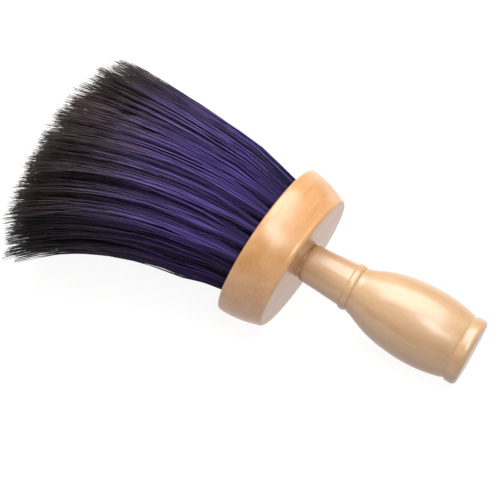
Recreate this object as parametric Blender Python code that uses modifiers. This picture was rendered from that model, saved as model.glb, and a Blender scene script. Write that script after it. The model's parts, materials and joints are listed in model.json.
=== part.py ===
"""Neck duster brush: a turned wooden handle glued into a thick round wooden head, and fifty-eight tufts
of soft bristle set in blind holes in the head's front.

The brush lies on a table, bristles towards -X. It rests on the head's rim, on the foot of the handle
and on its lowest bristle tips. Each tuft turns a little about the upright line through its own hole.
Units are metres, +Z is up.
"""

import math

import bmesh
import bpy
from mathutils import Matrix, Vector

MM = 0.001
CLEARANCE = 0.3 * MM

# Handle, measured along its axis from the foot's end face
FOOT_RADIUS = 13.6 * MM
FOOT_EDGE_ROUND = 2.0 * MM
FOOT_LENGTH = 4.2 * MM
FOOT_TAPER = 0.05 * MM  # the foot is this much slimmer at its groove
FOOT_GROOVE_WIDTH = 2.2 * MM
FOOT_GROOVE_RADIUS = 12.9 * MM
# the vase-shaped grip: (distance from the end face, radius)
GRIP_OUTLINE = (
    (6.4 * MM, 13.45 * MM),
    (9.5 * MM, 14.2 * MM),
    (15.0 * MM, 15.1 * MM),
    (21.2 * MM, 15.45 * MM),
    (27.5 * MM, 15.15 * MM),
    (33.7 * MM, 14.35 * MM),
    (39.0 * MM, 13.1 * MM),
    (43.5 * MM, 11.45 * MM),
    (47.3 * MM, 9.85 * MM),
    (49.0 * MM, 9.3 * MM),
)
BEAD_START = 50.0 * MM
BEAD_LENGTH = 3.2 * MM
BEAD_RADIUS = 9.6 * MM
BEAD_GROOVE_RADIUS = 8.85 * MM
NECK_OUTLINE = (
    (54.0 * MM, 8.75 * MM),
    (57.5 * MM, 8.5 * MM),
    (62.7 * MM, 8.1 * MM),
    (67.0 * MM, 7.82 * MM),
    (69.1 * MM, 7.75 * MM),
)
NECK_END_RADIUS = 6.7 * MM
JOINT_DISTANCE = 72.25 * MM  # foot's end face to the head's back
SHOULDER_DEPTH = 0.6 * MM  # how far the neck's end goes into its seat in the head
TENON_RADIUS = 5.5 * MM
TENON_LENGTH = 7.6 * MM
TENON_CHAMFER = 0.7 * MM
SOCKET_OPENING = 5.0 * MM  # the socket's cutter starts this far outside the head
HANDLE_SIDES = 40
FOOT_EDGE_STEPS = 4
GRIP_PIECES = 2  # curve pieces between two points of the outline
NECK_PIECES = 1
BEAD_STEPS = 6
NECK_END_STEPS = 3

# Head, measured along its own axis from its back face
HEAD_THICKNESS = 17.6 * MM
HEAD_BACK_RADIUS = 28.9 * MM
HEAD_FRONT_RADIUS = 32.1 * MM
RIM_BULGE = 0.7 * MM
HEAD_BACK_ROUND = 1.7 * MM
HEAD_FRONT_ROUND = 1.2 * MM
HEAD_SIDES = 56
HEAD_EDGE_STEPS = 3
RIM_STEPS = 6
# the socket is bored a little out of square and off centre, so the head leans on the handle
HEAD_LEAN = math.radians(4.7)
HEAD_LEAN_AZIMUTH = math.radians(55.0)  # round the handle's axis, from straight up towards +Y
HEAD_OFFSET = 1.75 * MM  # away from the lean

# Tufts: one in the middle and four rings round it, as (ring radius, number of tufts)
TUFT_RINGS = (
    (0.0, 1),
    (5.9 * MM, 6),
    (11.5 * MM, 12),
    (17.05 * MM, 17),
    (22.6 * MM, 22),
)
HOLE_RADIUS = 2.5 * MM
HOLE_DEPTH = 7.6 * MM
HOLE_SIDES = 10
PIVOT_DEPTH = 3.0 * MM  # a tuft turns about a point this far inside its hole
STEM_RADIUS = 1.1 * MM
STEM_DEPTH = 6.0 * MM  # how deep a tuft stands in its hole
TUFT_RADIUS = 2.5 * MM  # of the full tuft, before it fans out
TUFT_SIDES = 6
# (fraction of the free length, radius there over TUFT_RADIUS)
TUFT_SECTIONS = (
    (0.0, STEM_RADIUS / TUFT_RADIUS),
    (0.04, 0.75),
    (0.1, 1.0),
    (0.35, 1.0),
    (0.6, 1.0),
    (0.82, 1.0),
    (1.0, 0.8),
)

# How the free bristles spread and hang; s runs from 0 at the face to 1 at the tip
BUNDLE_RADIUS = 25.0 * MM
BRISTLE_LENGTH = 95.1 * MM
TRIM_ROUND = -2.0 * MM  # the tips are cut to a slight dome
TRIM_DOWN = -2.9 * MM  # lower bristles are shorter
TRIM_SIDE = -1.6 * MM  # and so are those towards -Y
FAN_SIDE = (0.42, 0.46)  # widening across, as (times s, times s squared)
FAN_DOWN = (0.2, 0.04)
SAG = (-4.2 * MM, 25.6 * MM)
SIDE_SET = (1.3 * MM, 2.9 * MM)
STRAND_STEPS = 24

# The brush rests at some climb below the steepest one, found by halving
STEEPEST_CLIMB = math.radians(30.0)
CLIMB_HALVINGS = 40

COLLECTION_NAME = "neck_duster_brush"
CUTTER_COLLECTION_NAME = "neck_duster_brush_cutters"


def clear_scene():
    for old in list(bpy.data.objects):
        bpy.data.objects.remove(old, do_unlink=True)


def new_collection(name):
    collection = bpy.data.collections.new(name)
    bpy.context.scene.collection.children.link(collection)
    return collection


def new_material(name, color, roughness, metallic=0.0, coat=0.0):
    material = bpy.data.materials.new(name)
    material.use_nodes = True
    shader = material.node_tree.nodes["Principled BSDF"]
    shader.inputs["Base Color"].default_value = (*color, 1.0)
    shader.inputs["Roughness"].default_value = roughness
    shader.inputs["Metallic"].default_value = metallic
    shader.inputs["Coat Weight"].default_value = coat
    return material


def place(mesh, name, collection, parent, matrix=None):
    """A new object for the mesh, standing at matrix in its parent's frame."""
    obj = bpy.data.objects.new(name, mesh)
    collection.objects.link(obj)
    obj.parent = parent
    obj.matrix_local = matrix or Matrix.Identity(4)
    return obj


def smooth_through(points, pieces):
    """Points along a Catmull-Rom curve through the given (distance, radius) points."""
    ends = [points[0], *points, points[-1]]
    curve = []
    for before, start, end, after in zip(ends, ends[1:], ends[2:], ends[3:]):
        for step in range(pieces):
            t = step / pieces
            curve.append(
                tuple(
                    0.5
                    * (
                        2 * b
                        + (c - a) * t
                        + (2 * a - 5 * b + 4 * c - d) * t * t
                        + (3 * b - a - 3 * c + d) * t**3
                    )
                    for a, b, c, d in zip(before, start, end, after)
                )
            )
    return [*curve, points[-1]]


def arc(centre, radius, start, end, steps):
    """(distance, radius) points round a centre; angle 0 is towards the bristles, 90 is outwards."""
    angles = (math.radians(start + (end - start) * i / steps) for i in range(steps + 1))
    return [
        (centre[0] + radius * math.cos(a), centre[1] + radius * math.sin(a))
        for a in angles
    ]


def turned(name, outline, sides, collection, parent, matrix=None):
    """A solid of revolution about local Z from (distance along Z, radius) points, foot end first."""
    mesh = bpy.data.meshes.new(name)
    downwards = [(radius, 0.0, distance) for distance, radius in reversed(outline)]
    edges = [(i, i + 1) for i in range(len(downwards) - 1)]
    mesh.from_pydata(downwards, edges, [])
    obj = place(mesh, name, collection, parent, matrix)
    screw = obj.modifiers.new("turned", "SCREW")
    screw.axis = "Z"
    screw.angle = math.tau
    screw.steps = sides
    screw.render_steps = sides
    screw.use_merge_vertices = True
    screw.merge_threshold = 0.01 * MM
    screw.use_smooth_shade = True
    return obj


def cut(obj, cutter):
    difference = obj.modifiers.new("cut_" + cutter.name, "BOOLEAN")
    difference.operation = "DIFFERENCE"
    difference.solver = "EXACT"
    difference.object = cutter
    cutter.hide_render = True
    cutter.display_type = "WIRE"


def handle_outline():
    foot_edge = (FOOT_EDGE_ROUND, FOOT_RADIUS - FOOT_EDGE_ROUND)
    groove_middle = FOOT_LENGTH + FOOT_GROOVE_WIDTH / 2
    bead_middle = BEAD_START + BEAD_LENGTH / 2
    bead_rise = BEAD_RADIUS - BEAD_GROOVE_RADIUS
    bead = [
        (
            bead_middle - BEAD_LENGTH / 2 * math.cos(math.radians(a)),
            BEAD_GROOVE_RADIUS + bead_rise * math.sin(math.radians(a)),
        )
        for a in (180 * i / BEAD_STEPS for i in range(BEAD_STEPS + 1))
    ]
    neck_end, neck_radius = NECK_OUTLINE[-1]
    round_end = JOINT_DISTANCE - SHOULDER_DEPTH
    seat = JOINT_DISTANCE + SHOULDER_DEPTH
    neck_round = [
        (
            neck_end + (round_end - neck_end) * math.sin(math.radians(a)),
            NECK_END_RADIUS
            + (neck_radius - NECK_END_RADIUS) * math.cos(math.radians(a)),
        )
        for a in (90 * (i + 1) / NECK_END_STEPS for i in range(NECK_END_STEPS))
    ]
    return [
        (0.0, 0.0),
        *arc(foot_edge, FOOT_EDGE_ROUND, 180, 90, FOOT_EDGE_STEPS),
        (FOOT_LENGTH, FOOT_RADIUS - FOOT_TAPER),
        (groove_middle, FOOT_GROOVE_RADIUS),
        *smooth_through(GRIP_OUTLINE, GRIP_PIECES),
        *bead,
        *smooth_through(NECK_OUTLINE, NECK_PIECES),
        *neck_round,
        (seat, NECK_END_RADIUS),
        (seat, TENON_RADIUS),
        (seat + TENON_LENGTH - TENON_CHAMFER, TENON_RADIUS),
        (seat + TENON_LENGTH, TENON_RADIUS - TENON_CHAMFER),
        (seat + TENON_LENGTH, 0.0),
    ]


def head_outline():
    back_corner = (HEAD_BACK_ROUND, HEAD_BACK_RADIUS - HEAD_BACK_ROUND)
    front_corner = (
        HEAD_THICKNESS - HEAD_FRONT_ROUND,
        HEAD_FRONT_RADIUS - HEAD_FRONT_ROUND,
    )
    rim_start, rim_end = HEAD_BACK_ROUND, HEAD_THICKNESS - HEAD_FRONT_ROUND
    rim = []
    for i in range(1, RIM_STEPS):
        s = i / RIM_STEPS
        taper = HEAD_BACK_RADIUS + (HEAD_FRONT_RADIUS - HEAD_BACK_RADIUS) * s
        rim.append(
            (rim_start + (rim_end - rim_start) * s, taper + 4 * RIM_BULGE * s * (1 - s))
        )
    return [
        (0.0, 0.0),
        *arc(back_corner, HEAD_BACK_ROUND, 180, 90, HEAD_EDGE_STEPS),
        *rim,
        *arc(front_corner, HEAD_FRONT_ROUND, 90, 0, HEAD_EDGE_STEPS),
        (HEAD_THICKNESS, 0.0),
    ]


def socket_outline():
    """The handle's seat and socket in the head, in the handle's frame, a clearance wider all round."""
    seat = JOINT_DISTANCE + SHOULDER_DEPTH + CLEARANCE
    seat_radius = NECK_END_RADIUS + CLEARANCE
    bottom = JOINT_DISTANCE + SHOULDER_DEPTH + TENON_LENGTH + CLEARANCE
    return [
        (JOINT_DISTANCE - SOCKET_OPENING, 0.0),
        (JOINT_DISTANCE - SOCKET_OPENING, seat_radius),
        (seat, seat_radius),
        (seat, TENON_RADIUS + CLEARANCE),
        (bottom, TENON_RADIUS + CLEARANCE),
        (bottom, 0.0),
    ]


def head_matrix():
    """The head's place in the handle's frame, whose X is up and Y is level when the brush rests."""
    lean_way = Vector((math.cos(HEAD_LEAN_AZIMUTH), math.sin(HEAD_LEAN_AZIMUTH), 0.0))
    hinge_line = Vector((0.0, 0.0, 1.0)).cross(lean_way)
    seat = Vector((0.0, 0.0, JOINT_DISTANCE)) - HEAD_OFFSET * lean_way
    return Matrix.Translation(seat) @ Matrix.Rotation(HEAD_LEAN, 4, hinge_line)


def resting_matrix(pitch):
    """The handle's frame when its axis points along -X and climbs at pitch."""
    return Matrix.Rotation(pitch - math.pi / 2, 4, "Y")


def lowest_of_ring(matrix, distance, radius):
    """Height of the lowest point of a ring round a frame's Z axis."""
    axis = matrix.to_3x3() @ Vector((0.0, 0.0, 1.0))
    centre = matrix @ Vector((0.0, 0.0, distance))
    return centre.z - radius * math.sqrt(1.0 - axis.z**2)


def resting_pitch():
    """The climb at which the foot's rim and the head's rim stand at one height, by halving."""
    low, high = 0.0, STEEPEST_CLIMB
    rim_distance = HEAD_THICKNESS - HEAD_FRONT_ROUND
    for _ in range(CLIMB_HALVINGS):
        middle = (low + high) / 2
        handle = resting_matrix(middle)
        foot = lowest_of_ring(handle, FOOT_EDGE_ROUND, FOOT_RADIUS)
        rim = lowest_of_ring(handle @ head_matrix(), rim_distance, HEAD_FRONT_RADIUS)
        if rim < foot:
            low = middle
        else:
            high = middle
    return middle


def strand_point(down, side, s):
    """Where a bristle rooted at (down, side) on the face is, a fraction s along: (down, side, out)."""
    round_out = (down**2 + side**2) / BUNDLE_RADIUS**2
    length = (
        BRISTLE_LENGTH
        + TRIM_ROUND * round_out
        + (TRIM_DOWN * down + TRIM_SIDE * side) / BUNDLE_RADIUS
    )

    def across(t):
        return (
            down * (1 + FAN_DOWN[0] * t + FAN_DOWN[1] * t * t)
            + SAG[0] * t
            + SAG[1] * t * t,
            side * (1 + FAN_SIDE[0] * t + FAN_SIDE[1] * t * t)
            + SIDE_SET[0] * t
            + SIDE_SET[1] * t * t,
        )

    out = 0.0
    step = s / STRAND_STEPS
    here = across(0.0)
    for i in range(1, STRAND_STEPS + 1):
        there = across(step * i)
        moved = math.hypot(there[0] - here[0], there[1] - here[1])
        out += math.sqrt((length * step) ** 2 - moved**2)
        here = there
    return (*here, out)


def tuft_seats():
    """(name, down, side) of every tuft on the head's face."""
    seats = []
    for ring, (radius, count) in enumerate(TUFT_RINGS):
        for i in range(count):
            angle = math.tau * (i + 0.5 * (ring % 2)) / count
            seats.append(
                (
                    f"tuft_ring{ring}_{i + 1:02d}",
                    radius * math.cos(angle),
                    radius * math.sin(angle),
                )
            )
    return seats


def face_frame(head_world):
    """The head's frame moved to its face, turned so X points down the face and Y towards -Y."""
    axis = head_world.to_3x3() @ Vector((0.0, 0.0, 1.0))
    down = Vector((0.0, 0.0, -1.0))
    down = (down - down.dot(axis) * axis).normalized()
    side = axis.cross(down)
    centre = head_world @ Vector((0.0, 0.0, HEAD_THICKNESS))
    frame = Matrix((down, side, axis)).transposed().to_4x4()
    return Matrix.Translation(centre) @ frame


def tuft_mesh(name, down, side):
    """A loft from a thin stem inside the hole to the fanned tip; local origin at the tuft's pivot."""
    pivot = Vector((down, side, -PIVOT_DEPTH))
    angles = [math.tau * i / TUFT_SIDES for i in range(TUFT_SIDES)]
    rings = [
        [
            Vector(
                (
                    down + STEM_RADIUS * math.cos(a),
                    side + STEM_RADIUS * math.sin(a),
                    -STEM_DEPTH,
                )
            )
            for a in angles
        ]
    ]
    for s, share in TUFT_SECTIONS:
        radius = share * TUFT_RADIUS
        rings.append(
            [
                Vector(
                    strand_point(
                        down + radius * math.cos(a), side + radius * math.sin(a), s
                    )
                )
                for a in angles
            ]
        )
    bm = bmesh.new()
    loops = [[bm.verts.new(point - pivot) for point in ring] for ring in rings]
    for lower, upper in zip(loops, loops[1:]):
        for i in range(TUFT_SIDES):
            j = (i + 1) % TUFT_SIDES
            bm.faces.new((lower[i], lower[j], upper[j], upper[i]))
    bm.faces.new(list(reversed(loops[0])))
    bm.faces.new(loops[-1])
    bmesh.ops.recalc_face_normals(bm, faces=bm.faces)
    mesh = bpy.data.meshes.new(name)
    bm.to_mesh(mesh)
    bm.free()
    mesh.shade_smooth()
    return mesh


def hole_cutter(collection, face):
    """All the tuft holes as one cutter of separate cylinders, half of each inside the face."""
    bm = bmesh.new()
    for _, down, side in tuft_seats():
        bmesh.ops.create_cone(
            bm,
            cap_ends=True,
            segments=HOLE_SIDES,
            radius1=HOLE_RADIUS,
            radius2=HOLE_RADIUS,
            depth=2 * HOLE_DEPTH,
            matrix=Matrix.Translation((down, side, 0.0)),
        )
    mesh = bpy.data.meshes.new("tuft_holes")
    bm.to_mesh(mesh)
    bm.free()
    return place(mesh, "tuft_holes", collection, face)


def new_empty(name, collection, parent, matrix):
    empty = bpy.data.objects.new(name, None)
    collection.objects.link(empty)
    empty.parent = parent
    empty.matrix_local = matrix
    return empty


def stand_on_origin(root):
    """Move the brush so that its box is centred on the origin and its lowest point is at height 0."""
    bpy.context.view_layer.update()
    graph = bpy.context.evaluated_depsgraph_get()
    points = []
    for obj in bpy.data.objects:
        if obj.type == "MESH" and not obj.hide_render:
            shape = obj.evaluated_get(graph)
            points += [shape.matrix_world @ v.co for v in shape.data.vertices]
    lows = [min(p[i] for p in points) for i in range(3)]
    highs = [max(p[i] for p in points) for i in range(3)]
    middle = [(low + high) / 2 for low, high in zip(lows, highs)]
    root.location -= Vector((middle[0], middle[1], lows[2]))


def build():
    clear_scene()
    parts = new_collection(COLLECTION_NAME)
    cutters = new_collection(CUTTER_COLLECTION_NAME)
    lacquered_wood = new_material(
        "lacquered_wood", (0.76, 0.47, 0.22), 0.3, coat=0.6
    )
    head_wood = new_material("head_wood", (0.79, 0.48, 0.21), 0.28, coat=0.7)
    dyed_bristle = new_material("dyed_bristle", (0.06, 0.04, 0.17), 0.5)

    handle_world = resting_matrix(resting_pitch())
    head_world = handle_world @ head_matrix()
    face_world = face_frame(head_world)

    handle_axis = new_empty("handle_axis", parts, None, handle_world)
    head_axis = new_empty("head_axis", parts, handle_axis, head_matrix())
    face_matrix = head_world.inverted() @ face_world
    face_axis = new_empty("face_axis", parts, head_axis, face_matrix)

    handle = turned("handle", handle_outline(), HANDLE_SIDES, parts, handle_axis)
    handle.data.materials.append(lacquered_wood)

    head = turned("brush_head", head_outline(), HEAD_SIDES, parts, head_axis)
    head.data.materials.append(head_wood)
    socket = turned("socket", socket_outline(), HANDLE_SIDES, cutters, handle_axis)
    cut(head, socket)
    cut(head, hole_cutter(cutters, face_axis))

    for name, down, side in tuft_seats():
        tuft = place(
            tuft_mesh(name, down, side),
            name,
            parts,
            face_axis,
            Matrix.Translation((down, side, -PIVOT_DEPTH)),
        )
        tuft.data.materials.append(dyed_bristle)

    stand_on_origin(handle_axis)


build()
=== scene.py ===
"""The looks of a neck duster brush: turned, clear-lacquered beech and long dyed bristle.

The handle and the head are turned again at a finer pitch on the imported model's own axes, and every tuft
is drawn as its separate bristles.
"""

import json
import math

import bmesh
import bpy
import numpy as np
from mathutils import Matrix, Vector


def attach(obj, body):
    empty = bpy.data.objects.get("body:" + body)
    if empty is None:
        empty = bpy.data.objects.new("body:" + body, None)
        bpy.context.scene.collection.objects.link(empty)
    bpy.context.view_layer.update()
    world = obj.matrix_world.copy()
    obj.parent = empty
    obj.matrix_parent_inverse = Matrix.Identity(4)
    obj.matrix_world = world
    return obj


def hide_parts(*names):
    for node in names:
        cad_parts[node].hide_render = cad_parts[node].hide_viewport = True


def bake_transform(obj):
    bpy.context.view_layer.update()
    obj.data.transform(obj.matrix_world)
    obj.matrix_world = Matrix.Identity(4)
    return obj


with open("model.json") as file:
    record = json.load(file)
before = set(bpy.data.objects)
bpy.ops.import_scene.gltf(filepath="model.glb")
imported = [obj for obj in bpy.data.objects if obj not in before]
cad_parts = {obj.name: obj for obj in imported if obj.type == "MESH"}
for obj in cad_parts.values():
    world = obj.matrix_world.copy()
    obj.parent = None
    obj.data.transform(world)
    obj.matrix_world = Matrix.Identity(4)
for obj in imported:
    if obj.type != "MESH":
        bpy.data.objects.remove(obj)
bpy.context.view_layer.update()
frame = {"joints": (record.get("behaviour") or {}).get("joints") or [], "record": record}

MM = 0.001
HEAD_BODY = "handle_and_head"
CENTRE_TUFT = "tuft_ring0_01"

# Turned handle, measured along its axis from the foot's end face
FOOT_RADIUS = 13.6 * MM
FOOT_EDGE_ROUND = 2.0 * MM
FOOT_LENGTH = 4.2 * MM
FOOT_TAPER = 0.05 * MM
FOOT_GROOVE_WIDTH = 2.2 * MM
FOOT_GROOVE_RADIUS = 12.9 * MM
GRIP_OUTLINE = (
    (6.4 * MM, 13.45 * MM),
    (9.5 * MM, 14.2 * MM),
    (15.0 * MM, 15.1 * MM),
    (21.2 * MM, 15.45 * MM),
    (27.5 * MM, 15.15 * MM),
    (33.7 * MM, 14.35 * MM),
    (39.0 * MM, 13.1 * MM),
    (43.5 * MM, 11.45 * MM),
    (47.3 * MM, 9.85 * MM),
    (49.0 * MM, 9.3 * MM),
)
GRIP_PIECES = 5  # curve pieces between two of the grip's points
BEAD_START = 50.0 * MM
BEAD_LENGTH = 3.2 * MM
BEAD_RADIUS = 9.6 * MM
BEAD_GROOVE_RADIUS = 8.85 * MM
NECK_OUTLINE = (
    (54.0 * MM, 8.75 * MM),
    (57.5 * MM, 8.5 * MM),
    (62.7 * MM, 8.1 * MM),
    (67.0 * MM, 7.82 * MM),
    (69.1 * MM, 7.75 * MM),
)
NECK_PIECES = 4
NECK_END_RADIUS = 6.7 * MM
JOINT_DISTANCE = 72.25 * MM  # foot's end face to the head's back
SHOULDER_DEPTH = 0.6 * MM
TENON_RADIUS = 5.5 * MM
TENON_LENGTH = 7.6 * MM
TENON_CHAMFER = 0.7 * MM
CLEARANCE = 0.3 * MM
SOCKET_OPENING = 5 * MM  # the socket's cutter starts this far behind the head's back
ROUND_STEP = 15  # degrees between the points of the bead and of the neck's rounded end
HANDLE_SIDES = 128
HANDLE_CREASE = 50  # degrees between faces, from which an edge is shaded sharp

# Turned head, measured along its own axis from its back face
HEAD_THICKNESS = 17.6 * MM
HEAD_BACK_RADIUS = 28.9 * MM
HEAD_FRONT_RADIUS = 32.1 * MM
RIM_BULGE = 0.7 * MM
RIM_STEPS = 16
HEAD_BACK_ROUND = 1.7 * MM
HEAD_FRONT_ROUND = 1.2 * MM
EDGE_STEPS = 8  # of each rounded edge of the foot and the head
HEAD_SIDES = 160
HEAD_CREASE = 40
HOLE_RADIUS = 2.5 * MM
HOLE_DEPTH = 7.6 * MM
HOLE_SIDES = 20
PIVOT_DEPTH = 3.0 * MM
STEM_DEPTH = 2 * PIVOT_DEPTH  # how deep the bristles start in their hole

# Bristle bundle: s runs from 0 at the head's face to 1 at the tip
BUNDLE_RADIUS = 25.0 * MM
BRISTLE_LENGTH = 95.1 * MM
TRIM_ROUND = -2.0 * MM  # change of length at the bundle's edge all round,
TRIM_DOWN = -2.9 * MM  # at its lower edge
TRIM_SIDE = -1.6 * MM  # and at its near edge
# The first of each pair grows with s, the second with its square
FAN_SIDE = (0.39, 0.54)
FAN_DOWN = (0.2, 0.04)
SAG = (-4.2 * MM, 25.6 * MM)
SIDE_SET = (1.8 * MM, 2.9 * MM)
REST_BEND = 0.8 * MM  # height over which a bristle bends as it comes down on the table

# One tuft's bristles, gathered in locks and, finer, in wisps
BRISTLE_STEPS = 9
BRISTLE_SIDES = 3
BRISTLES_PER_TUFT = 160
LOCKS_PER_TUFT = 9
WISPS_PER_TUFT = 44
BRISTLE_THICKNESS = 0.36 * MM  # a real one is near 0.15 mm; drawn coarser so that single ones show
THICKNESS_RANGE = (0.8, 1.15)
TAPER_START = 0.6
TAPER_LOSS = 0.6
TAPER_POWER = 1.6
TUFT_MOUTH_RADIUS = 2.3 * MM
STEM_SQUEEZE = 0.55  # narrowing of a tuft inside its hole
TUFT_SPREAD, SPREAD_SPAN = 2.2, (0.0, 0.25)  # widening of a tuft once it is clear of its hole
TIP_SPREAD = 0.35  # and as much more by its tips
LOCK_REACH = 0.82  # the locks' middles lie within this share of the mouth
WISP_REACH = 0.95
LOCK_PULL, LOCK_SPAN = 0.35, (0.1, 0.5)  # share of the way to the lock's middle, and where it grows
WISP_PULL, WISP_SPAN = 0.6, (0.05, 0.3)
WISP_RELEASE, RELEASE_SPAN = 0.2, (0.6, 1.0)  # the wisps open again by the tips

# How far tips stray across the bundle: whole tufts, locks, wisps and single bristles
TUFT_DRIFT = 0.6 * MM
LOCK_DRIFT = 0.85 * MM
WISP_DRIFT = 0.7 * MM
BRISTLE_DRIFT = 0.55 * MM
STRAY_SHARE, STRAY_DRIFT = 0.006, 1.6 * MM  # a few stray further
LONGEST_DRIFT = 1.7  # times the usual one
DRIFT_POWER = 1.2
DRIFT_OUTWARD = 0.25  # bristles stray less out of the bundle than along its surface
WAVE_HEIGHT, WAVE_COUNT, WAVE_SPAN = 0.3 * MM, 1.3, (0.0, 0.3)
LOCK_UNEVEN = 0.004  # unevenness of the trim, as shares of the length
WISP_UNEVEN = 0.006
BRISTLE_UNEVEN = 0.009

# Tone of the bristles, from 0, darkest, to 1
MIDDLE_TONE = 0.5
# painted shade across the bundle: lower and near tufts darker, upper and far ones paler
LOW_PAINTED_SHADE = 0.16
TUFT_TONE = 0.07
LOCK_TONE = 0.1
WISP_TONE = 0.18
BRISTLE_TONE = 0.21
DYE_UNEVEN = 0.07  # how far up or down a bristle the dye reaches, as a share of the length
PAINTED_SHADE_LOW_WEIGHT, PAINTED_SHADE_NEAR_WEIGHT = 0.6, 0.8  # painted shade: the bundle is darkest at its lower and near side
PAINTED_SHADE_SLOPE, PAINTED_SHADE_START, PAINTED_SHADE_MOST = 1.3, 0.1, 0.9  # painted shade on the ends of the low, near tufts, growing across the bundle and along each bristle
SEED = 7

# Finishes; the widths are across the grain
HANDLE_PALE, HANDLE_WARM = "D2B08A", "C8A27A"
HEAD_PALE, HEAD_WARM = "DEAD7B", "D29A62"
FLECK_BROWN = "C9A07C"
FIGURE_WIDTH = 7 * MM
FLECK_WIDTH = 0.9 * MM
GRAIN_STRETCH = 0.08  # the pattern is some 12 times as long as it is wide
FLECK_STRENGTH = 0.14
FLECK_RELIEF = 0.05 * MM
DYE_ALONG_BRISTLE = [
    (0.0, "4E3E86"),
    (0.2, "8068CC"),
    (0.5, "7C66B0"),
    (0.76, "6E5E6A"),
    (1.0, "72625A"),
]
# turns each bristle's tone, painted shade included, into a colour
TONE_OF_BRISTLE = [(0.0, "1C1C26"), (0.5, "A4A7AC"), (1.0, "DCDEE2")]

# Studio, in metres and watts
SOFTBOXES = {  # place, size and power
    "top_softbox": ((-0.06, 0.24, 0.92), (1.02, 0.95), 12.4),
    "head_softbox": ((0.37, -0.4, 0.92), (0.32, 0.5), 3.2),
}
ROOM_COLOUR, ROOM_STRENGTH = "FFECDA", 0.35
TABLE_HALF_WIDTH = 3.0
TABLE_GAP = 0.2 * MM  # the table stays clear of the wood that rests on it
TABLE_COLOUR, TABLE_GLOW = "6A6A6A", 0.92
CAMERA_AZIMUTH = math.radians(28.6)
CAMERA_ELEVATION = math.radians(47.3)
CAMERA_DISTANCE = 747 * MM
JOINT_RIGHT_OF_VIEW = 21.2 * MM  # the neck's joint, from the middle of the view
JOINT_BELOW_VIEW = 4.04 * MM
LENS = 140.9
SENSOR_WIDTH = 36.0
NEAREST_DRAWN = 10 * MM


# ---------------------------------------------------------------- frames


def frame_matrix(origin, x_axis, z_axis):
    """A frame at origin with the given Z, and X as near to x_axis as that allows."""
    z_axis = z_axis.normalized()
    x_axis = (x_axis - x_axis.dot(z_axis) * z_axis).normalized()
    y_axis = z_axis.cross(x_axis)
    turn = Matrix((x_axis, y_axis, z_axis)).transposed().to_4x4()
    return Matrix.Translation(origin) @ turn


def foot_frame():
    """The handle's frame: origin at the foot's end face, Z towards the bristles, X up."""
    foot = next(m for m in frame["record"]["mounts"] if m["name"] == "foot_face")
    return frame_matrix(Vector(foot["pos_m"]), Vector((0.0, 0.0, 1.0)), -Vector(foot["axis"]))


def pivots():
    """Where each tuft turns, by the name of its body."""
    return {j["child"]: Vector(j["pos_m"]) for j in frame["joints"]}


def face_frame(tuft_pivots):
    """Origin at the middle of the head's face, Z out along the head's axis, X down the face."""
    centre = tuft_pivots[CENTRE_TUFT]
    spread = np.array([p - centre for p in tuft_pivots.values()])
    axis = Vector(np.linalg.svd(spread)[2][-1])
    if axis.x > 0:
        axis.negate()
    return frame_matrix(centre + PIVOT_DEPTH * axis, Vector((0.0, 0.0, -1.0)), axis)


# ---------------------------------------------------------------- materials


def linear(hex_colour):
    """sRGB hex to the linear RGBA that a socket takes."""
    parts = [int(hex_colour[i : i + 2], 16) / 255 for i in (0, 2, 4)]
    return (*[p / 12.92 if p <= 0.04045 else ((p + 0.055) / 1.055) ** 2.4 for p in parts], 1.0)


def add_node(material, kind, settings=None, **links):
    """A node with its settings (socket or property name: value) and its links (socket: output).

    "stops" sets a colour ramp's (place, hex) pairs, and a link named _6 goes to socket number 6.
    """
    node = material.node_tree.nodes.new("ShaderNode" + kind)
    for name, value in (settings or {}).items():
        if name == "stops":
            elements = node.color_ramp.elements
            while len(elements) < len(value):
                elements.new(0.5)
            for element, (element.position, hex_colour) in zip(elements, value):
                element.color = linear(hex_colour)
        elif name in node.inputs:
            node.inputs[name].default_value = value
        else:
            setattr(node, name, value)
    for name, output in links.items():
        numbered = name[1:].isdigit()
        socket = node.inputs[int(name[1:]) if numbered else name.replace("_", " ")]
        material.node_tree.links.new(output, socket)
    return node


def new_material(name, settings):
    """A material with its Principled shader's own sockets set."""
    material = bpy.data.materials.new(name)
    material.use_nodes = True
    shader = material.node_tree.nodes["Principled BSDF"]
    for socket, value in settings.items():
        shader.inputs[socket].default_value = value
    return material, shader


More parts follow.
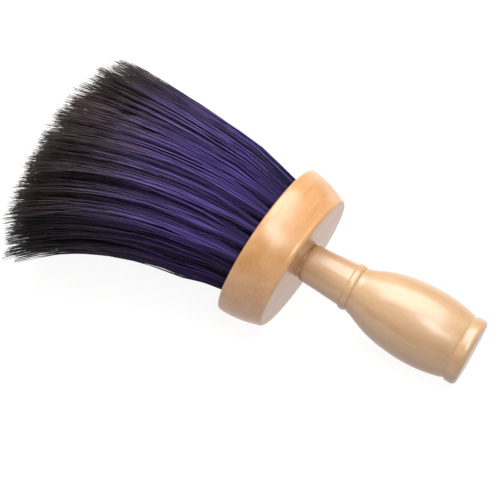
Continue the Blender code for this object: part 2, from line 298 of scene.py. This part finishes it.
def lacquered_beech(name, grain_axis, pale, warm):
    """Steamed beech, turned, sanded and dipped in clear lacquer: pale pinkish wood with fine ray flecks
    along the grain, under a smooth glossy film that catches broad soft reflections. The bare wood has no
    gloss of its own, and the film's IOR is raised from a lacquer's 1.5 for the shine of a thick dip."""
    material, shader = new_material(
        name,
        {
            "Roughness": 0.5,
            "Specular IOR Level": 0.0,
            "Coat Weight": 1.0,
            "Coat Roughness": 0.28,
            "Coat IOR": 1.85,
        },
    )
    place = add_node(material, "TexCoord")
    squeeze = [1.0, 1.0, 1.0]
    squeeze["XYZ".index(grain_axis)] = GRAIN_STRETCH
    along_grain = add_node(
        material, "Mapping", {"Scale": squeeze}, Vector=place.outputs["Object"]
    )
    # broad bands where the turning cuts across the growth rings, and the ray flecks over them
    figure = add_node(
        material,
        "TexNoise",
        {"Scale": 1 / FIGURE_WIDTH, "Detail": 4.0, "Roughness": 0.55},
        Vector=along_grain.outputs["Vector"],
    )
    flecks = add_node(
        material,
        "TexNoise",
        {"Scale": 1 / FLECK_WIDTH, "Detail": 2.0, "Roughness": 0.5},
        Vector=along_grain.outputs["Vector"],
    )
    figure_tone = add_node(
        material, "ValToRGB", {"stops": [(0.35, warm), (0.62, pale)]}, Fac=figure.outputs["Fac"]
    )
    fleck_tone = add_node(
        material,
        "ValToRGB",
        {"stops": [(0.36, FLECK_BROWN), (0.5, "FFFFFF")]},
        Fac=flecks.outputs["Fac"],
    )
    colour = add_node(
        material,
        "Mix",
        {"data_type": "RGBA", "blend_type": "MULTIPLY", "Factor": FLECK_STRENGTH},
        _6=figure_tone.outputs["Color"],
        _7=fleck_tone.outputs["Color"],
    )
    material.node_tree.links.new(colour.outputs[2], shader.inputs["Base Color"])
    relief = add_node(
        material,
        "Bump",
        {"Strength": 0.04, "Distance": FLECK_RELIEF},
        Height=flecks.outputs["Fac"],
    )
    material.node_tree.links.new(relief.outputs["Normal"], shader.inputs["Normal"])
    return material


def dyed_bristle():
    """Soft bristle dyed violet: each hair keeps a satin shine along its length, and the dye thins to the
    hair's own charcoal brown near the tips. Neighbouring hairs differ a little in tone, and painted shade
    darkens the bundle's lower and near side, most at the ends."""
    material, shader = new_material(
        "dyed_bristle", {"Roughness": 0.4, "IOR": 1.55, "Specular IOR Level": 0.18}
    )
    along = add_node(material, "Attribute", {"attribute_name": "along"})
    shade = add_node(material, "Attribute", {"attribute_name": "shade"})
    dye = add_node(
        material, "ValToRGB", {"stops": DYE_ALONG_BRISTLE}, Fac=along.outputs["Fac"]
    )
    tone = add_node(material, "ValToRGB", {"stops": TONE_OF_BRISTLE}, Fac=shade.outputs["Fac"])
    colour = add_node(
        material,
        "Mix",
        {"data_type": "RGBA", "blend_type": "MULTIPLY", "Factor": 1.0},
        _6=dye.outputs["Color"],
        _7=tone.outputs["Color"],
    )
    material.node_tree.links.new(colour.outputs[2], shader.inputs["Base Color"])
    return material


def lit_table():
    """Matt board that glows by itself: it stays evenly pale, and the brush shades it only faintly."""
    material, _ = new_material(
        "lit_table",
        {
            "Base Color": linear(TABLE_COLOUR),
            "Roughness": 0.9,
            "Emission Color": linear("FFFFFF"),
            "Emission Strength": TABLE_GLOW,
        },
    )
    return material


# ---------------------------------------------------------------- wood


def add_object(name, data):
    """An object in the scene, from a mesh, a light or a camera."""
    obj = bpy.data.objects.new(name, data)
    bpy.context.scene.collection.objects.link(obj)
    return obj


def add_mesh_object(name, bm):
    """An object made of a finished bmesh."""
    mesh = bpy.data.meshes.new(name)
    bm.to_mesh(mesh)
    bm.free()
    return add_object(name, mesh)


def smooth_through(points, pieces):
    """Points along a Catmull-Rom curve through the given (distance, radius) points."""
    ends = [points[0], *points, points[-1]]
    curve = []
    for before, start, end, after in zip(ends, ends[1:], ends[2:], ends[3:]):
        for step in range(pieces):
            t = step / pieces
            curve.append(
                tuple(
                    0.5
                    * (
                        2 * b
                        + (c - a) * t
                        + (2 * a - 5 * b + 4 * c - d) * t * t
                        + (3 * b - a - 3 * c + d) * t**3
                    )
                    for a, b, c, d in zip(before, start, end, after)
                )
            )
    return [*curve, points[-1]]


def arc(centre, radius, start, end, steps):
    """(distance, radius) points round a centre; angle 0 is towards the bristles, 90 is outwards."""
    angles = (math.radians(start + (end - start) * i / steps) for i in range(steps + 1))
    return [
        (centre[0] + radius * math.cos(a), centre[1] + radius * math.sin(a))
        for a in angles
    ]


def turned(name, outline, sides):
    """A solid of revolution about local Z from (distance along Z, radius) points, foot end first."""
    bm = bmesh.new()
    angles = [math.tau * i / sides for i in range(sides)]
    rings = []
    for distance, radius in outline:
        if radius == 0.0:
            rings.append([bm.verts.new((0.0, 0.0, distance))] * sides)
        else:
            rings.append(
                [
                    bm.verts.new((radius * math.cos(a), radius * math.sin(a), distance))
                    for a in angles
                ]
            )
    for lower, upper in zip(rings, rings[1:]):
        for i in range(sides):
            j = (i + 1) % sides
            corners = [lower[i], lower[j], upper[j], upper[i]]
            bm.faces.new(list(dict.fromkeys(corners)))
    bmesh.ops.recalc_face_normals(bm, faces=bm.faces)
    obj = add_mesh_object(name, bm)
    obj.data.shade_smooth()
    return obj


def handle_outline():
    """From the foot's end face to the end of the tenon."""
    foot_edge = (FOOT_EDGE_ROUND, FOOT_RADIUS - FOOT_EDGE_ROUND)
    groove_middle = FOOT_LENGTH + FOOT_GROOVE_WIDTH / 2
    bead_middle = BEAD_START + BEAD_LENGTH / 2
    bead_rise = BEAD_RADIUS - BEAD_GROOVE_RADIUS
    bead = [
        (
            bead_middle - BEAD_LENGTH / 2 * math.cos(math.radians(a)),
            BEAD_GROOVE_RADIUS + bead_rise * math.sin(math.radians(a)),
        )
        for a in range(0, 181, ROUND_STEP)
    ]
    neck_end, neck_radius = NECK_OUTLINE[-1]
    round_end = JOINT_DISTANCE - SHOULDER_DEPTH
    seat = JOINT_DISTANCE + SHOULDER_DEPTH
    neck_round = [
        (
            neck_end + (round_end - neck_end) * math.sin(math.radians(a)),
            NECK_END_RADIUS + (neck_radius - NECK_END_RADIUS) * math.cos(math.radians(a)),
        )
        for a in range(ROUND_STEP, 91, ROUND_STEP)
    ]
    return [
        (0.0, 0.0),
        *arc(foot_edge, FOOT_EDGE_ROUND, 180, 90, EDGE_STEPS),
        (FOOT_LENGTH, FOOT_RADIUS - FOOT_TAPER),
        (groove_middle, FOOT_GROOVE_RADIUS),
        *smooth_through(GRIP_OUTLINE, GRIP_PIECES),
        *bead,
        *smooth_through(NECK_OUTLINE, NECK_PIECES),
        *neck_round,
        (seat, NECK_END_RADIUS),
        (seat, TENON_RADIUS),
        (seat + TENON_LENGTH - TENON_CHAMFER, TENON_RADIUS),
        (seat + TENON_LENGTH, TENON_RADIUS - TENON_CHAMFER),
        (seat + TENON_LENGTH, 0.0),
    ]


def head_outline():
    """From the head's back face over the bulging rim to its bristle face."""
    back_corner = (HEAD_BACK_ROUND, HEAD_BACK_RADIUS - HEAD_BACK_ROUND)
    front_corner = (HEAD_THICKNESS - HEAD_FRONT_ROUND, HEAD_FRONT_RADIUS - HEAD_FRONT_ROUND)
    rim_start, rim_end = HEAD_BACK_ROUND, HEAD_THICKNESS - HEAD_FRONT_ROUND
    rim = []
    for i in range(1, RIM_STEPS):
        s = i / RIM_STEPS
        taper = HEAD_BACK_RADIUS + (HEAD_FRONT_RADIUS - HEAD_BACK_RADIUS) * s
        rim.append((rim_start + (rim_end - rim_start) * s, taper + 4 * RIM_BULGE * s * (1 - s)))
    return [
        (0.0, 0.0),
        *arc(back_corner, HEAD_BACK_ROUND, 180, 90, EDGE_STEPS),
        *rim,
        *arc(front_corner, HEAD_FRONT_ROUND, 90, 0, EDGE_STEPS),
        (HEAD_THICKNESS, 0.0),
    ]


def socket_outline():
    """The tenon and its shoulder with their clearance, in the handle's frame."""
    opening = JOINT_DISTANCE - SOCKET_OPENING
    seat = JOINT_DISTANCE + SHOULDER_DEPTH + CLEARANCE
    seat_radius = NECK_END_RADIUS + CLEARANCE
    bottom = JOINT_DISTANCE + SHOULDER_DEPTH + TENON_LENGTH + CLEARANCE
    return [
        (opening, 0.0),
        (opening, seat_radius),
        (seat, seat_radius),
        (seat, TENON_RADIUS + CLEARANCE),
        (bottom, TENON_RADIUS + CLEARANCE),
        (bottom, 0.0),
    ]


def drills(seats):
    """One cylinder for each tuft hole, in the face's frame, half of it in the wood."""
    bm = bmesh.new()
    for down, side in seats:
        bmesh.ops.create_cone(
            bm,
            cap_ends=True,
            segments=HOLE_SIDES,
            radius1=HOLE_RADIUS,
            radius2=HOLE_RADIUS,
            depth=2 * HOLE_DEPTH,
            matrix=Matrix.Translation((down, side, 0.0)),
        )
    return add_mesh_object("drills", bm)


def cut_away(obj, *cutters):
    """Cuts the cutters out of obj for good, and removes them."""
    bpy.context.view_layer.update()
    for cutter in cutters:
        cut = obj.modifiers.new("cut", "BOOLEAN")
        cut.operation = "DIFFERENCE"
        cut.solver = "EXACT"
        cut.object = cutter
        graph = bpy.context.evaluated_depsgraph_get()
        mesh = bpy.data.meshes.new_from_object(obj.evaluated_get(graph))
        obj.modifiers.clear()
        obj.data = mesh
    for cutter in cutters:
        bpy.data.objects.remove(cutter)


def crease_sharp_edges(obj, degrees):
    """Smooth shading that still breaks at the shoulders and at the holes' mouths."""
    obj.data.shade_smooth()
    bm = bmesh.new()
    bm.from_mesh(obj.data)
    for edge in bm.edges:
        if edge.is_manifold and edge.calc_face_angle() > math.radians(degrees):
            edge.smooth = False
    bm.to_mesh(obj.data)
    bm.free()


# ---------------------------------------------------------------- bristle


def ease(s, start, end):
    """0 before start, 1 after end, and smooth between them."""
    t = np.clip((s - start) / (end - start), 0.0, 1.0)
    return t * t * (3 - 2 * t)


def scatter(rng, size, count):
    """Random steps across the tuft, none of them very long."""
    longest = LONGEST_DRIFT * size
    return np.clip(rng.normal(0.0, size, (count, 2)), -longest, longest)


def sunflower(count, radius, turn):
    """Points spread evenly over a disc."""
    order = np.arange(count)
    angle = order * math.pi * (3 - math.sqrt(5)) + turn
    reach = radius * np.sqrt((order + 0.5) / count)
    return np.stack([reach * np.cos(angle), reach * np.sin(angle)], axis=1)


def nearest(points, centres):
    """For each point, the number of the centre that lies nearest to it."""
    return np.argmin(np.linalg.norm(points[:, None] - centres[None], axis=2), axis=1)


def bristle_paths(down, side, length_share):
    """Points of bristles rooted at arrays (down, side), which may change along the bristle:
    arrays of shape (bristles, steps + 1). Returns their (down, side, out)."""
    s = np.linspace(0.0, 1.0, BRISTLE_STEPS + 1)[None, :] * length_share[:, None]
    root_down, root_side = down[:, :1], side[:, :1]
    round_out = (root_down**2 + root_side**2) / BUNDLE_RADIUS**2
    length = (
        BRISTLE_LENGTH
        + TRIM_ROUND * round_out
        + (TRIM_DOWN * root_down + TRIM_SIDE * root_side) / BUNDLE_RADIUS
    )
    x = down * (1 + FAN_DOWN[0] * s + FAN_DOWN[1] * s * s) + SAG[0] * s + SAG[1] * s * s
    y = side * (1 + FAN_SIDE[0] * s + FAN_SIDE[1] * s * s) + SIDE_SET[0] * s + SIDE_SET[1] * s * s
    moved = np.hypot(np.diff(x, axis=1), np.diff(y, axis=1))
    run = length * np.diff(s, axis=1)
    z = np.cumsum(np.sqrt(np.maximum(run**2 - moved**2, 0.0)), axis=1)
    z = np.concatenate([np.zeros((len(z), 1)), z], axis=1)
    return np.stack([x, y, z], axis=2)


def gathered(root, locks, wisps, lock, wisp, s):
    """Where bristles stand about their tuft's middle: each leans from its own place in the mouth
    towards the middles of its lock and its wisp, while the tuft widens."""
    spread = 1 + (TUFT_SPREAD - 1) * ease(s, *SPREAD_SPAN) + TIP_SPREAD * s * s
    to_lock = LOCK_PULL * ease(s, *LOCK_SPAN)
    to_wisp = WISP_PULL * ease(s, *WISP_SPAN) - WISP_RELEASE * ease(s, *RELEASE_SPAN)
    return (
        root[:, None] * (1 - to_lock - to_wisp)[None, :, None]
        + locks[lock][:, None] * to_lock[None, :, None]
        + wisps[wisp][:, None] * to_wisp[None, :, None]
    ) * spread[None, :, None]


def tip_drift(down, side, lock, wisp, rng):
    """How far each bristle's tip strays, with its tuft, its lock and its wisp, and by itself."""
    drift = (
        scatter(rng, TUFT_DRIFT, 1)
        + scatter(rng, LOCK_DRIFT, LOCKS_PER_TUFT)[lock]
        + scatter(rng, WISP_DRIFT, WISPS_PER_TUFT)[wisp]
        + scatter(rng, BRISTLE_DRIFT, BRISTLES_PER_TUFT)
    )
    strays = rng.random(BRISTLES_PER_TUFT) < STRAY_SHARE
    drift[strays] += scatter(rng, STRAY_DRIFT, strays.sum())
    outward = np.array([down, side]) / (math.hypot(down, side) + MM)
    away = np.maximum(drift @ outward, 0.0)
    drift -= (1 - DRIFT_OUTWARD) * away[:, None] * outward[None]
    return drift


def waves(s, rng):
    """A slow wave along each bristle."""
    height = scatter(rng, WAVE_HEIGHT, BRISTLES_PER_TUFT)
    phase = rng.uniform(0.0, math.tau, BRISTLES_PER_TUFT)
    swing = np.sin(s[None] * math.tau * WAVE_COUNT + phase[:, None])
    return height[:, None] * (swing * ease(s, *WAVE_SPAN)[None])[:, :, None]


def uneven_trim(lock, wisp, rng):
    """Each bristle's share of the trimmed length."""
    share = 1.0 + rng.normal(0.0, LOCK_UNEVEN, LOCKS_PER_TUFT)[lock]
    share += rng.normal(0.0, WISP_UNEVEN, WISPS_PER_TUFT)[wisp]
    share -= np.abs(rng.normal(0.0, BRISTLE_UNEVEN, BRISTLES_PER_TUFT))
    return share


def bristle_tones_and_painted_shade(down, side, lock, wisp, along, rng):
    """How pale each bristle is at each of its points: tone that differs at random by tuft, lock, wisp and
    bristle, with painted shade over it that darkens the lower and near side, lightens the upper and far
    side, and turns the lowest tufts' ends nearly black."""
    low_and_near = (PAINTED_SHADE_LOW_WEIGHT * down + PAINTED_SHADE_NEAR_WEIGHT * side) / BUNDLE_RADIUS
    # random tone, with painted shade across the bundle
    tone = (
        MIDDLE_TONE
        - LOW_PAINTED_SHADE * low_and_near
        + rng.normal(0.0, TUFT_TONE)
        + rng.normal(0.0, LOCK_TONE, LOCKS_PER_TUFT)[lock]
        + rng.normal(0.0, WISP_TONE, WISPS_PER_TUFT)[wisp]
        + rng.normal(0.0, BRISTLE_TONE, BRISTLES_PER_TUFT)
    )
    # painted shade: the ends of the low, near tufts are darkened towards black
    painted_end_shade = np.clip(PAINTED_SHADE_SLOPE * low_and_near - PAINTED_SHADE_START, 0.0, PAINTED_SHADE_MOST)
    unshaded_share = 1 - painted_end_shade * np.clip(PAINTED_SHADE_SLOPE * along - PAINTED_SHADE_START, 0, 1)
    return np.clip(tone, 0, 1)[:, None] * unshaded_share


def resting_on_table(height):
    """Lifts what would hang below the table onto it, bending gently over the last millimetres."""
    return 0.5 * (height + np.sqrt(height**2 + REST_BEND**2))


def tubes(points, radius):
    """Thin closed tubes along the rows of points (bristles, steps, 3): vertices, sides and ends."""
    count, steps, _ = points.shape
    tangent = np.gradient(points, axis=1)
    tangent /= np.linalg.norm(tangent, axis=2, keepdims=True)
    across = np.cross(tangent, np.array([1.0, 0.0, 0.0]))
    across /= np.linalg.norm(across, axis=2, keepdims=True)
    other = np.cross(tangent, across)
    angles = np.arange(BRISTLE_SIDES) * math.tau / BRISTLE_SIDES
    ring = (
        across[:, :, None, :] * np.cos(angles)[None, None, :, None]
        + other[:, :, None, :] * np.sin(angles)[None, None, :, None]
    )
    verts = points[:, :, None, :] + ring * radius[:, :, None, None]
    index = np.arange(count * steps * BRISTLE_SIDES).reshape(count, steps, BRISTLE_SIDES)
    following = np.roll(index, -1, axis=2)
    quads = np.stack(
        [index[:, :-1], following[:, :-1], following[:, 1:], index[:, 1:]], axis=3
    ).reshape(-1, 4)
    ends = np.concatenate([index[:, 0, ::-1], index[:, -1]])
    return verts.reshape(-1, 3), quads, ends


def tuft(name, down, side, face_place, rng, material):
    """Every bristle of one tuft as a thin closed tube, gathered in locks and wisps."""
    root = sunflower(BRISTLES_PER_TUFT, TUFT_MOUTH_RADIUS, 0.0)
    locks, wisps = (
        sunflower(number, reach * TUFT_MOUTH_RADIUS, rng.uniform(0, math.tau))
        for number, reach in ((LOCKS_PER_TUFT, LOCK_REACH), (WISPS_PER_TUFT, WISP_REACH))
    )
    lock, wisp = nearest(root, locks), nearest(root, wisps)

    s = np.linspace(0.0, 1.0, BRISTLE_STEPS + 1)
    offset = gathered(root, locks, wisps, lock, wisp, s)
    drift = tip_drift(down, side, lock, wisp, rng)
    offset += drift[:, None] * (s**DRIFT_POWER)[None, :, None]
    offset += waves(s, rng)
    share = uneven_trim(lock, wisp, rng)
    free = bristle_paths(down + offset[:, :, 0], side + offset[:, :, 1], share)
    stem = root * STEM_SQUEEZE
    deep = np.full(BRISTLES_PER_TUFT, -STEM_DEPTH)
    start = np.stack([down + stem[:, 0], side + stem[:, 1], deep], axis=1)[:, None]
    points = np.concatenate([start, free], axis=1)
    place = np.array(face_place)
    points = points @ place[:3, :3].T + place[:3, 3]
    points[..., 2] = resting_on_table(points[..., 2])

    thickness = BRISTLE_THICKNESS / 2 * rng.uniform(*THICKNESS_RANGE, BRISTLES_PER_TUFT)
    thinning = np.clip((s - TAPER_START) / (1 - TAPER_START), 0, 1) ** TAPER_POWER
    taper = np.concatenate([[1.0], 1 - TAPER_LOSS * thinning])
    verts, quads, ends = tubes(points, thickness[:, None] * taper[None])
    mesh = bpy.data.meshes.new(name)
    mesh.from_pydata(verts.tolist(), [], quads.tolist() + ends.tolist())
    mesh.shade_smooth()

    along = np.concatenate([[0.0], s])[None] * share[:, None]
    shade = bristle_tones_and_painted_shade(down, side, lock, wisp, along, rng)
    dyed = np.clip(along + rng.normal(0.0, DYE_UNEVEN, BRISTLES_PER_TUFT)[:, None], 0, 1)
    for attribute, values in (("along", dyed), ("shade", shade)):
        layer = mesh.attributes.new(attribute, "FLOAT", "POINT")
        layer.data.foreach_set("value", np.repeat(values.ravel(), BRISTLE_SIDES).astype(np.float32))
    mesh.materials.append(material)
    return add_object(name, mesh)


# ---------------------------------------------------------------- build


def build_wood(handle_place, face_place, seats):
    """The handle, and the head with its socket and holes."""
    handle = turned("beech_handle", handle_outline(), HANDLE_SIDES)
    handle.matrix_world = handle_place
    crease_sharp_edges(handle, HANDLE_CREASE)
    handle.data.materials.append(
        lacquered_beech("lacquered_beech_handle", "Z", HANDLE_PALE, HANDLE_WARM)
    )
    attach(handle, HEAD_BODY)
    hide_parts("handle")

    head = turned("beech_head", head_outline(), HEAD_SIDES)
    head.matrix_world = face_place @ Matrix.Translation((0.0, 0.0, -HEAD_THICKNESS))
    socket = turned("socket", socket_outline(), HANDLE_SIDES)
    socket.matrix_world = handle_place
    holes = drills(seats)
    holes.matrix_world = face_place
    cut_away(head, socket, holes)
    crease_sharp_edges(head, HEAD_CREASE)
    head.data.materials.clear()
    head.data.materials.append(
        lacquered_beech("lacquered_beech_head", "Y", HEAD_PALE, HEAD_WARM)
    )
    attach(head, HEAD_BODY)
    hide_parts("brush_head")


def build_tufts(face_place, tuft_pivots):
    """Every tuft drawn as its own bristles, rooted where its joint is, in place of the imported tuft."""
    material = dyed_bristle()
    into_face = face_place.inverted()
    rng = np.random.default_rng(SEED)
    for name, pivot in sorted(tuft_pivots.items()):
        down, side, _ = into_face @ pivot
        bristles = tuft(name + "_bristles", down, side, face_place, rng, material)
        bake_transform(bristles)
        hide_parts(name)


def lay_table():
    """The table under the brush. It throws no light up, so the brush stays dark underneath."""
    bm = bmesh.new()
    bmesh.ops.create_grid(bm, x_segments=2, y_segments=2, size=TABLE_HALF_WIDTH)
    floor = add_mesh_object("floor", bm)
    floor.location.z = -TABLE_GAP
    floor.visible_diffuse = False
    floor.data.materials.append(lit_table())


def light_softly():
    """Softboxes turned to the brush, in a room with a warm glow."""
    for name, (place, size, power) in SOFTBOXES.items():
        light = bpy.data.lights.new(name, "AREA")
        light.shape = "RECTANGLE"
        light.size, light.size_y = size
        light.energy = power
        softbox = add_object(name, light)
        softbox.location = place
        softbox.rotation_euler = (-Vector(place)).to_track_quat("-Z", "Y").to_euler()
    room = bpy.data.worlds.new("studio")
    bpy.context.scene.world = room
    room.use_nodes = True
    room.node_tree.nodes["Background"].inputs["Color"].default_value = linear(ROOM_COLOUR)
    room.node_tree.nodes["Background"].inputs["Strength"].default_value = ROOM_STRENGTH


def set_camera(handle_place):
    """Looks down on the brush from the foot's side, placed by where the neck's joint is seen."""
    az, el = CAMERA_AZIMUTH, CAMERA_ELEVATION
    forward = Vector((-math.sin(az) * math.cos(el), math.cos(az) * math.cos(el), -math.sin(el)))
    right = Vector((math.cos(az), math.sin(az), 0.0))
    down = forward.cross(right)
    joint = handle_place @ Vector((0.0, 0.0, JOINT_DISTANCE))
    camera = add_object("camera", bpy.data.cameras.new("camera"))
    camera.data.lens = LENS
    camera.data.sensor_width = SENSOR_WIDTH
    camera.data.clip_start = NEAREST_DRAWN
    camera.location = (
        joint - JOINT_RIGHT_OF_VIEW * right - JOINT_BELOW_VIEW * down - CAMERA_DISTANCE * forward
    )
    camera.rotation_euler = forward.to_track_quat("-Z", "Y").to_euler()
    bpy.context.scene.camera = camera


bpy.context.scene.view_settings.view_transform = "Standard"
tuft_pivots = pivots()
handle_place = foot_frame()
face_place = face_frame(tuft_pivots)
seats = [tuple(face_place.inverted() @ p)[:2] for p in tuft_pivots.values()]
build_wood(handle_place, face_place, seats)
build_tufts(face_place, tuft_pivots)
lay_table()
light_softly()
set_camera(handle_place)
